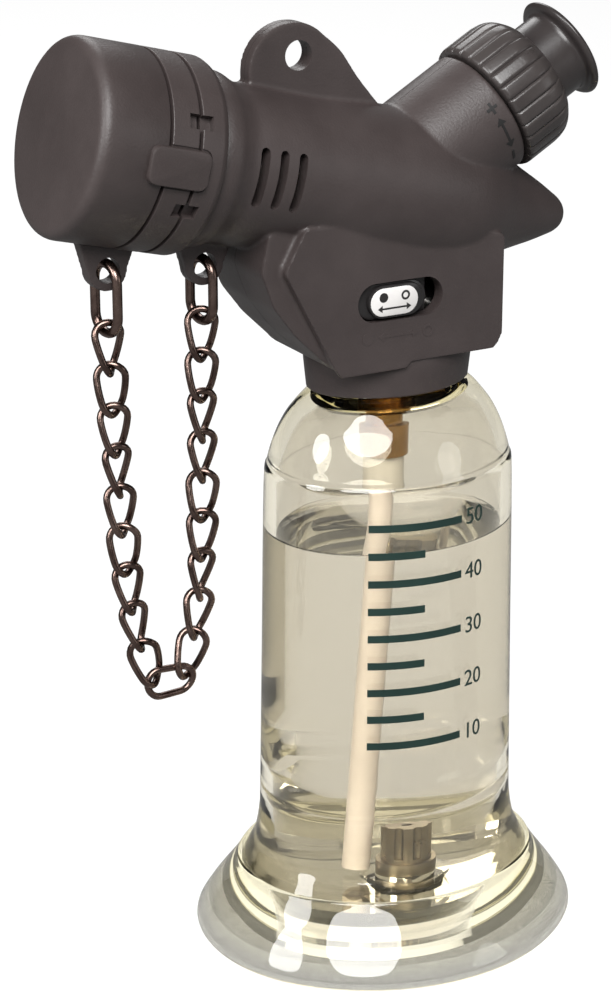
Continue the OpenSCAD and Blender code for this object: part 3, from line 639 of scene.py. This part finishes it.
def head_solid():
    return joined([lathe(nose, nozzle), prism(block_side, -block_half, block_half),
                   prism(panel_side, -panel_half, panel_half),
                   prism(panel_lip, -panel_half, 1.0 - panel_half),
                   prism(tab_side, -tab_thickness / 2, tab_thickness / 2),
                   prism(lug_side, -lug_thickness / 2, lug_thickness / 2),
                   prism(disc(*head_lug, 3.1), -lug_thickness / 2, lug_thickness / 2),
                   lathe(barrel_side, barrel)])


def head_hollows():
    """Gas chamber, air slots, igniter bore, valve cavity and holes, as cutters."""
    cutters = [lathe([(0, -2.0), (9.6, -2.0), (9.6, 52.0), (0, 52.0)], nozzle),
               lathe([(0, 9.0), (6.9, 9.0), (6.9, 26.0), (0, 26.0)], barrel),
               lathe([(0, -10.0), (5.25, -10.0), (5.25, 10.0), (0, 10.0)], barrel),
               lathe([(8.45, 18.45), (11.05, 18.45), (11.05, 30.0), (8.45, 30.0)], barrel,
                     closed=True),
               block_of((-13.0, -8.2, 100.0), (8.0, 8.2, 116.0)),
               lathe([(0, 96.0), (5.0, 96.0), (5.0, 101.0), (0, 101.0)],
                     Matrix.Translation((-1, 0, 0))),
               prism(disc(5.0, 104.4, 1.05), -9.4, 9.4),
               prism(disc(*tab_hole, 2.25), -5.0, 5.0),
               prism(disc(*head_lug, 1.9), -5.0, 5.0)]
    for x, z in screw_places:
        cutters.append(prism(disc(x, z, 1.05), -5.0, 5.5))
        cutters.append(prism(disc(x, z, 2.3), 5.0, 20.0))
    for i in range(3):
        for side in (-1, 1):
            air_slot = stadium(0, 23.0 + 3.2 * i, 8.7, 1.45, 6)
            cutters.append(prism(air_slot, side * 8.0, side * 16.0, nozzle))
    return cutters


seam = 0.045
lock_window = prism(stadium(*slot_place, 14.8, 6.0), -15.5, -7.5)
near_half = block_of((-60.0, -30.0, 80.0), (60.0, -seam, 170.0))
far_half = block_of((-60.0, seam, 80.0), (60.0, 30.0, 170.0))
piece("head_near_half", carved(head_solid(), head_hollows() + [lock_window], near_half, 0.3, 3),
      head_plastic, "torch", "head_plastic", "left_housing", sharp=32)
piece("head_far_half", carved(head_solid(), head_hollows(), far_half, 0.3, 3),
      head_plastic, "torch", "head_plastic", "right_housing", sharp=32)


# ---------------------------------------------------------------------------
# Rings and cap: a fixed ring on the nose, then the pull-off cap with its front
# ring; two clip plates bridge the grooves and a lug below holds the chain.
# ---------------------------------------------------------------------------
ring_r = 14.56
cap_front = 57.2
hook_low_r = ring_r - 0.55
hook_high_r = ring_r + 0.75


def ring_profile(inner, start, stop, back_ease, front_ease):
    """A ring's section, its outer corners eased by the given lengths."""
    return ([(inner, start)]
            + eased([(inner, start), (ring_r - 0.5 * back_ease, start), (ring_r, start + back_ease),
                     (ring_r, stop - 0.3), (ring_r, stop), (inner, stop)], front_ease)[1:-1]
            + [(inner, stop)])


def ring_cuts():
    """Pockets for the clip plates and the four small windows over a groove."""
    cuts = []
    for side in (-1, 1):
        pocket = eased([(-3.1, 39.5), (3.1, 39.5), (3.1, 49.55), (-3.1, 49.55)], 1.6, 5,
                       closed=True)
        cuts.append(prism(pocket, side * hook_low_r, side * 24.0, nozzle))
    for turn in (-115, -63, 63, 115):
        window = prism([(ring_r - 1.2, 39.6), (ring_r + 1.2, 39.6), (ring_r + 1.2, 43.4),
                        (ring_r - 1.2, 43.4)], -1.1, 1.1)
        bmesh.ops.transform(window, verts=window.verts,
                            matrix=nozzle @ Matrix.Rotation(math.radians(turn), 4, "Z"))
        cuts.append(window)
    return cuts


piece("rear_ring", carved(lathe(ring_profile(12.15, 36.9, 41.25, 0.9, 0.2), nozzle, closed=True),
                          ring_cuts()),
      head_plastic, "torch", "head_plastic", "rear_ring")
cap_lug = (-48.3, 116.0)
lug_outline = [(cap_lug[0] - 4.5, cap_lug[1] + 5.0), (cap_lug[0] - 3.1, cap_lug[1]),
               (cap_lug[0] + 3.1, cap_lug[1]), (cap_lug[0] + 4.5, cap_lug[1] + 3.4)]
cap_lug_shape = carved(joined([prism(lug_outline, -lug_thickness / 2, lug_thickness / 2),
                               prism(disc(*cap_lug, 3.1), -lug_thickness / 2, lug_thickness / 2)]),
                       [lathe([(0, 41.75), (14.2, 41.75), (14.2, 46.0), (0, 46.0)], nozzle),
                        lathe([(0, 46.0), (14.65, 46.0), (14.65, 62.0), (0, 62.0)], nozzle),
                        lathe([(0, 30.0), (22.0, 30.0), (22.0, 41.75), (0, 41.75)], nozzle),
                        prism(disc(*cap_lug, 1.9), -5.0, 5.0)], melt=0.25, smoothing=3)
front_shape = carved(lathe(ring_profile(12.4, 41.75, 46.0, 0.2, 0.2), nozzle, closed=True),
                     ring_cuts())
piece("front_ring", joined([front_shape, cap_lug_shape]), head_plastic, "cap", "head_plastic",
      "front_ring")

cap_wall = 1.6
cap_edge = eased([(ring_r, 47.0), (ring_r, cap_front - 0.25), (0.0, cap_front)], 1.9, 8)[1:-1]
cap_shape = lathe([(12.4, 46.5), (14.36, 46.5), (14.5, 46.56), (ring_r, 46.7)] + cap_edge
                  + [(7.0, cap_front - 0.05), (0.0, cap_front), (0.0, cap_front - cap_wall),
                     (12.4, cap_front - cap_wall)], nozzle, closed=True)
plates = []
for side in (-1, 1):
    face = eased([(-2.8, 39.8), (2.8, 39.8), (2.8, 49.25), (-2.8, 49.25)], 1.5, 6, closed=True)
    middle = 44.525
    plate = bmesh.new()
    rows = []
    for depth, inset in [(hook_low_r, 0.0), (hook_high_r - 0.35, 0.0), (hook_high_r - 0.1, 0.1),
                         (hook_high_r, 0.35)]:
        rows.append([plate.verts.new((across * (1 - inset / 2.8), side * depth,
                                      middle + (along - middle) * (1 - inset / 4.7)))
                     for across, along in face])
    for low, high in zip(rows, rows[1:]):
        for i in range(len(low)):
            k = (i + 1) % len(low)
            plate.faces.new((low[i], low[k], high[k], high[i]))
    plate.faces.new(rows[0])
    plate.faces.new(rows[-1])
    bmesh.ops.transform(plate, matrix=nozzle, verts=plate.verts)
    plates.append(plate)
piece("cap", joined([cap_shape] + plates), head_plastic, "cap", "head_plastic", "nozzle_cap")


# ---------------------------------------------------------------------------
# Flame dial and igniter button: glossier black mouldings on the barrel. The
# dial is a fluted ring; the button is a shaft with a dished thumb flange.
# ---------------------------------------------------------------------------
dial_plastic = finish("dial_black", (0.034, 0.029, 0.028), (0.054, 0.046, 0.044), 0.30,
                      grain_size=1800.0, mottle_size=110.0, bump=0.05)
button_plastic = finish("button_black", (0.024, 0.020, 0.020), (0.038, 0.032, 0.031), 0.30,
                        grain_size=1800.0, mottle_size=110.0, bump=0.04)
dial_r = 10.75
dial_start = 18.7
dial_top = 28.6
flute_count = 28
flute_depth = 0.32
dial_edge = eased([(8.7, dial_start), (dial_r, dial_start), (dial_r, 25.2), (10.3, 27.0),
                   (8.6, dial_top), (7.0, dial_top)], 1.0, 5)[1:-1]
dial_side = ([(8.7, dial_start)] + dial_edge
             + [(7.0, dial_top), (7.0, 24.3), (8.7, 24.3)])
dial_shape = bmesh.new()
dial_steps = flute_count * 12
dial_rings = []
for r, z in dial_side:
    ring_points = []
    for i in range(dial_steps):
        angle = 2 * math.pi * i / dial_steps
        groove = math.exp(-((((i / 12) % 1) - 0.5) / 0.07) ** 2)
        fade = min(1.0, max(0.0, (r - 8.9) / 0.6))
        out = r - flute_depth * groove * fade
        ring_points.append(dial_shape.verts.new((out * math.cos(angle), out * math.sin(angle), z)))
    dial_rings.append(ring_points)
for low, high in zip(dial_rings, dial_rings[1:] + dial_rings[:1]):
    for i in range(dial_steps):
        k = (i + 1) % dial_steps
        dial_shape.faces.new((low[i], low[k], high[k], high[i]))
bmesh.ops.transform(dial_shape, matrix=barrel, verts=dial_shape.verts)
piece("dial", dial_shape, dial_plastic, "dial", "dial_black", "flame_dial", sharp=55)


# A plus, a double arrow and a minus stand up from the barrel beside the dial. Their near-black
# colour is painted shade, standing in for the shade round their small relief.
def arc_bar(start, end, start_half, end_half, low=9.9, high=10.07, steps=6):
    """A thin raised bar round the barrel, tapered between its two half widths."""
    middle = 16.0
    shape = bmesh.new()
    columns = []
    for i in range(steps + 1):
        t = i / steps
        angle = math.radians(start + (end - start) * t)
        half = start_half + (end_half - start_half) * t
        columns.append([shape.verts.new((r * math.cos(angle), r * math.sin(angle),
                                         middle + side * half))
                        for r, side in [(low, -1), (high, -1), (high, 1), (low, 1)]])
    for near, far in zip(columns, columns[1:]):
        for k in range(4):
            j = (k + 1) % 4
            shape.faces.new((near[k], near[j], far[j], far[k]))
    shape.faces.new(columns[0])
    shape.faces.new(columns[-1])
    bmesh.ops.transform(shape, matrix=barrel, verts=shape.verts)
    return shape


# Near-black finish for the barrel marks: painted shade in place of the shade round the raised
# marks.
mark_painted_shade = finish("mark_painted_shade", (0.005, 0.005, 0.005), (0.010, 0.009, 0.009), 0.6, bump=0.04)
barrel_marks = [arc_bar(-119.0, -108.0, 0.22, 0.22), arc_bar(-114.8, -112.2, 0.95, 0.95),
                arc_bar(-103.0, -97.0, 0.02, 0.85), arc_bar(-97.0, -79.0, 0.20, 0.20),
                arc_bar(-79.0, -73.0, 0.85, 0.02), arc_bar(-68.0, -57.0, 0.22, 0.22)]
piece("barrel_marks", joined(barrel_marks), mark_painted_shade, "torch", "dial_black")

button_r = 6.6
flange_r = 8.27
button_top = 35.5
button_side = ([(0.0, 19.5), (5.6, 19.5), (5.6, 15.5), (button_r, 15.5), (button_r, 33.2)]
               + flow([(button_r, 33.4), (button_r + 0.1, 33.9), (button_r + 0.5, 34.2),
                       (flange_r - 0.5, 34.35), (flange_r, 34.8), (flange_r - 0.05, 35.2),
                       (flange_r - 0.4, 35.5)])
               + flow([(flange_r - 0.9, button_top - 0.02), (flange_r - 1.3, button_top - 0.35),
                       (flange_r - 2.2, button_top - 0.6), (flange_r - 4.5, button_top - 0.75)])
               + [(0.0, button_top - 0.8)])
piece("button", lathe(button_side, barrel), button_plastic, "button", "button_black",
      "ignition_button", sharp=50)
dress(dial_plastic, "piezo_unit")


# ---------------------------------------------------------------------------
# Lock slider: a black moulded slide in the near panel's slot, with a bright
# label plate let in. A double arrow and two dots mark it, and the panel below.
# ---------------------------------------------------------------------------
def pad(outline, near, far, ease, centre):
    """A plate in the XZ plane facing -Y, its near edge eased inwards."""
    shape = bmesh.new()
    rows = []
    for depth, inset in [(far, 0.0), (near + ease, 0.0), (near + 0.3 * ease, 0.3 * ease),
                         (near, ease)]:
        row = []
        for x, z in outline:
            away = Vector((x - centre[0], z - centre[1]))
            away -= away.normalized() * inset
            row.append(shape.verts.new((centre[0] + away.x, depth, centre[1] + away.y)))
        rows.append(row)
    for low, high in zip(rows, rows[1:]):
        for i in range(len(low)):
            k = (i + 1) % len(low)
            shape.faces.new((low[i], low[k], high[k], high[i]))
    shape.faces.new(rows[0])
    shape.faces.new(rows[-1])
    return shape


slider_x = -5.7
slider_z = 108.0
slider_plastic = finish("slider_black", (0.010, 0.009, 0.009), (0.020, 0.018, 0.018), 0.32,
                        bump=0.04)
slider_shape = pad(stadium(slider_x, slider_z, 12.1, 5.5), -panel_half + 0.7, -8.0, 0.3,
                   (slider_x, slider_z))
slider_boss = pad(stadium(slider_x + 0.4, slider_z, 9.6, 5.1), -panel_half - 0.15, -9.0, 0.3,
                  (slider_x, slider_z))
slider_back = block_of((slider_x - 6.8, -8.1, slider_z - 3.7),
                       (slider_x + 6.8, -7.2, slider_z + 3.7))
piece("lock_slide", joined([slider_shape, slider_boss, slider_back]), slider_plastic, "lock",
      "dial_black", "lock_slider")
label_paint = finish("label_white", (0.72, 0.70, 0.68), (0.80, 0.78, 0.76), 0.32,
                     grain_size=1500.0, mottle_size=400.0, bump=0.02)
piece("label", pad(stadium(slider_x, slider_z, 8.2, 4.3), -panel_half - 0.25, -panel_half, 0.08,
                   (slider_x, slider_z)), label_paint, "lock", "label_white", "lock_label")
label_ink = finish("label_ink", (0.012, 0.011, 0.011), (0.024, 0.022, 0.021), 0.5, bump=0.02)


def double_arrow(x, z, size=1.0):
    """Outline of an arrow with a head at each end."""
    right = [(2.1, -0.14), (2.1, -0.55), (2.9, 0.0), (2.1, 0.55), (2.1, 0.14)]
    return [(x + size * u, z + size * v) for u, v in right + [(-u, -v) for u, v in right]]


def dot(x, depth, z, radius, inner, half):
    """A flat disc facing along Y, or a ring where inner is above zero."""
    return lathe([(inner, -half), (radius, -half), (radius, half), (inner, half)],
                 Matrix.Translation((x, depth, z)) @ Matrix.Rotation(math.radians(90), 4, "X"),
                 32, closed=inner > 0)


label_marks = [prism(double_arrow(slider_x, slider_z - 1.0), -panel_half - 0.27, -panel_half - 0.2),
               dot(slider_x - 1.9, -panel_half - 0.24, slider_z + 0.75, 0.75, 0.0, 0.03),
               dot(slider_x + 1.9, -panel_half - 0.24, slider_z + 0.75, 0.75, 0.42, 0.03)]
piece("label_marks", joined(label_marks), label_ink, "lock", "label_white")
guide_x = -4.9
guide_z = 102.6
guide_marks = [dot(guide_x - 5.3, -panel_half, guide_z, 0.95, 0.0, 0.08),
               dot(guide_x + 5.3, -panel_half, guide_z, 0.95, 0.6, 0.08),
               prism(double_arrow(guide_x, guide_z, 1.2), -panel_half - 0.08, -panel_half + 0.08)]
piece("guide_marks", joined(guide_marks), head_plastic, "torch", "head_plastic")


# ---------------------------------------------------------------------------
# Chain: curb links of round steel wire, twisted so that they lie flat, plated
# dark bronze; a larger ring holds each end in its lug.
# ---------------------------------------------------------------------------
chain_plating = finish("chain_bronze", (0.075, 0.047, 0.040), (0.24, 0.17, 0.145), 0.26,
                       metallic=1.0, grain_size=1500.0, mottle_size=260.0, bump=0.10)
link_length = 8.9
link_width = 5.4
link_pitch = 6.36
chain_wire = 1.1


def link_mesh(length, width, wire, twist=0.0, around=40, sides=10):
    """A closed wire loop, long along Z, twisted by an angle from end to end."""
    shape = bmesh.new()
    bend = (width - wire) / 2
    straight = length / 2 - wire / 2 - bend
    turns = math.pi * bend
    total = 2 * turns + 4 * straight

    def middle(s):
        s = s % total
        if s < 2 * straight:
            return Vector((bend, 0, s - straight))
        s -= 2 * straight
        if s < turns:
            return Vector((bend * math.cos(s / bend), 0, straight + bend * math.sin(s / bend)))
        s -= turns
        if s < 2 * straight:
            return Vector((-bend, 0, straight - s))
        s -= 2 * straight
        return Vector((-bend * math.cos(s / bend), 0, -straight - bend * math.sin(s / bend)))

    def twisted(s):
        p = middle(s)
        return Matrix.Rotation(twist * p.z / length, 3, "Z") @ p

    loops = []
    for i in range(around):
        s = total * i / around
        here = twisted(s)
        ahead = (twisted(s + total / 200) - twisted(s - total / 200)).normalized()
        out = Vector((0, 1, 0)) - ahead * ahead.y
        out.normalize()
        side = ahead.cross(out)
        spokes = [2 * math.pi * k / sides for k in range(sides)]
        loops.append([shape.verts.new(here + wire / 2 * (math.cos(a) * out + math.sin(a) * side))
                      for a in spokes])
    for i in range(around):
        low, high = loops[i], loops[(i + 1) % around]
        for k in range(sides):
            j = (k + 1) % sides
            shape.faces.new((low[k], low[j], high[j], high[k]))
    return shape


def lug_ring(name, place, length, body, node):
    shape = link_mesh(length, 7.0, 1.5, 0.0, 56, 14)
    place = (Matrix.Translation((place[0], 0, place[1] + 0.85 - (length - 1.5) / 2))
             @ Matrix.Rotation(math.radians(-79), 4, "Z"))
    bmesh.ops.transform(shape, matrix=place, verts=shape.verts)
    piece(name, shape, chain_plating, body, "chain_bronze", node, sharp=80)


lug_ring("cap_ring", (cap_lug[0] + 0.2, cap_lug[1]), 12.0, "cap_strand", "cap_lug_ring")
lug_ring("head_ring", head_lug, 11.0, "head_strand", "head_lug_ring")


# One tree hangs a link on every point of a strand, turned by the point's own
# angles, and makes the strand one mesh.
strand_tree = bpy.data.node_groups.new("hang_links", "GeometryNodeTree")
strand_tree.interface.new_socket("Strand", in_out="INPUT", socket_type="NodeSocketGeometry")
strand_tree.interface.new_socket("Link", in_out="INPUT", socket_type="NodeSocketObject")
strand_tree.interface.new_socket("Link Scale", in_out="INPUT", socket_type="NodeSocketFloat")
strand_tree.interface.new_socket("Plating", in_out="INPUT", socket_type="NodeSocketMaterial")
strand_tree.interface.new_socket("Chain", in_out="OUTPUT", socket_type="NodeSocketGeometry")
tree_in = strand_tree.nodes.new("NodeGroupInput")
tree_out = strand_tree.nodes.new("NodeGroupOutput")
link_source = strand_tree.nodes.new("GeometryNodeObjectInfo")
turns = strand_tree.nodes.new("GeometryNodeInputNamedAttribute")
turns.data_type = "FLOAT_VECTOR"
turns.inputs["Name"].default_value = "turn"
hang = strand_tree.nodes.new("GeometryNodeInstanceOnPoints")
solid = strand_tree.nodes.new("GeometryNodeRealizeInstances")
plate_all = strand_tree.nodes.new("GeometryNodeSetMaterial")
hook_up = strand_tree.links.new
hook_up(tree_in.outputs["Strand"], hang.inputs["Points"])
hook_up(tree_in.outputs["Link"], link_source.inputs["Object"])
hook_up(link_source.outputs["Geometry"], hang.inputs["Instance"])
hook_up(turns.outputs["Attribute"], hang.inputs["Rotation"])
hook_up(tree_in.outputs["Link Scale"], hang.inputs["Scale"])
hook_up(hang.outputs["Instances"], solid.inputs["Geometry"])
hook_up(solid.outputs["Geometry"], plate_all.inputs["Geometry"])
hook_up(tree_in.outputs["Plating"], plate_all.inputs["Material"])
hook_up(plate_all.outputs["Geometry"], tree_out.inputs["Chain"])
tree_inputs = {item.name: item.identifier for item in strand_tree.interface.items_tree
               if item.item_type == "SOCKET" and item.in_out == "INPUT"}

link_shape = link_mesh(link_length, link_width, chain_wire, math.radians(-88))
link_data = bpy.data.meshes.new("link")
link_shape.to_mesh(link_data)
link_object = bpy.data.objects.new("link", link_data)
scene.collection.objects.link(link_object)


def chain_strand(name, across, slope, body, node, extra=None):
    """Nine links along a strand; across gives X and slope its lean at t from 0 to 1."""
    points = []
    turned = []
    for i in range(9):
        t = i / 8
        points.append((across(t), 0.0, 104.0 - link_pitch * i))
        lean = -math.atan2(slope(t), link_pitch * 8)
        spin = math.radians(16 + 16 * math.sin(1.7 * i + len(name)))
        turned.append((Matrix.Rotation(lean, 3, "Y") @ Matrix.Rotation(spin, 3, "Z")).to_euler())
    line = bpy.data.meshes.new(name)
    line.from_pydata(points, [], [])
    turn = line.attributes.new("turn", "FLOAT_VECTOR", "POINT")
    for i, angles in enumerate(turned):
        turn.data[i].vector = angles
    holder = bpy.data.objects.new(name, line)
    scene.collection.objects.link(holder)
    hanging = holder.modifiers.new("links", "NODES")
    hanging.node_group = strand_tree
    hanging[tree_inputs["Link"]] = link_object
    hanging[tree_inputs["Link Scale"]] = 1.0
    hanging[tree_inputs["Plating"]] = chain_plating
    strand = bmesh.new()
    strand.from_mesh(bpy.data.meshes.new_from_object(
        holder.evaluated_get(bpy.context.evaluated_depsgraph_get())))
    bpy.data.objects.remove(holder)
    piece(name, joined([strand] + ([extra] if extra else [])), chain_plating, body,
          "chain_bronze", node, sharp=80)


loop_shape = link_mesh(link_length, link_width, chain_wire, math.radians(24))
bmesh.ops.transform(loop_shape, verts=loop_shape.verts,
                    matrix=(Matrix.Translation((-38.9, 0, 49.2))
                            @ Matrix.Rotation(math.radians(90), 4, "Y")))
chain_strand("cap_chain", lambda t: -47.9 + 2.6 * t + 2.55 * t ** 6, lambda t: 2.6 + 15.3 * t ** 5,
             "cap_strand", "cap_side_chain", loop_shape)
chain_strand("head_chain", lambda t: -32.7 - 0.3 * t - 2.45 * t ** 6,
             lambda t: -0.3 - 14.7 * t ** 5, "head_strand", "head_side_chain")
bpy.data.objects.remove(link_object)
